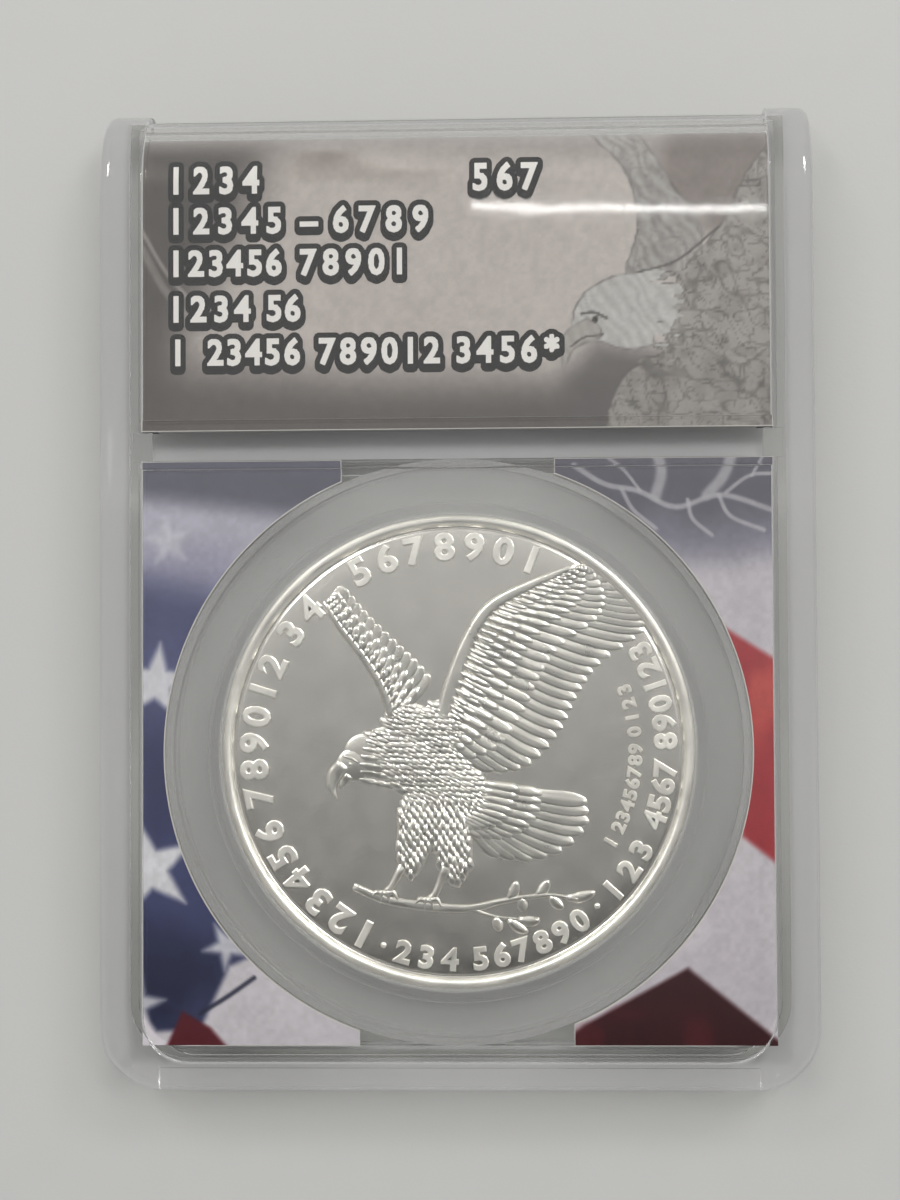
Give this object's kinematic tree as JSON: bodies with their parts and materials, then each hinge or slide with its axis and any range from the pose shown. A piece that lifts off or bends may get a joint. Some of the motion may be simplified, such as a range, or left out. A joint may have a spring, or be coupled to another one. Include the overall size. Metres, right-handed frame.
{
  "type": "graded coin slab",
  "caption": "Flat clear plastic case welded from two shells, with a large silver coin held in a clear ring between printed picture cards and a bent label above.",
  "frame": {"origin": "middle of the underside of the slab's box, where it lies on its back", "axes": "+X to the right, +Y up the slab from the coin to the label, +Z out of the front windows"},
  "size_m": [0.0606, 0.0838, 0.0085],
  "materials": {
    "clear_plastic": "polished clear styrene",
    "frosted_plastic": "clear soft plastic, lightly frosted",
    "silver": "struck silver, satin fields and frosted relief",
    "label_print": "printed card",
    "rear_print": "printed card",
    "picture_print": "printed card",
    "foil": "diffraction foil"
  },
  "bodies": {
    "root": {"front_shell": "clear_plastic", "back_shell": "clear_plastic", "coin_ring": "frosted_plastic", "coin": "silver", "label_card": "label_print", "rear_label_card": "rear_print", "left_picture_card": "picture_print", "right_picture_card": "picture_print", "security_seal": "foil"}
  },
  "joints": []
}
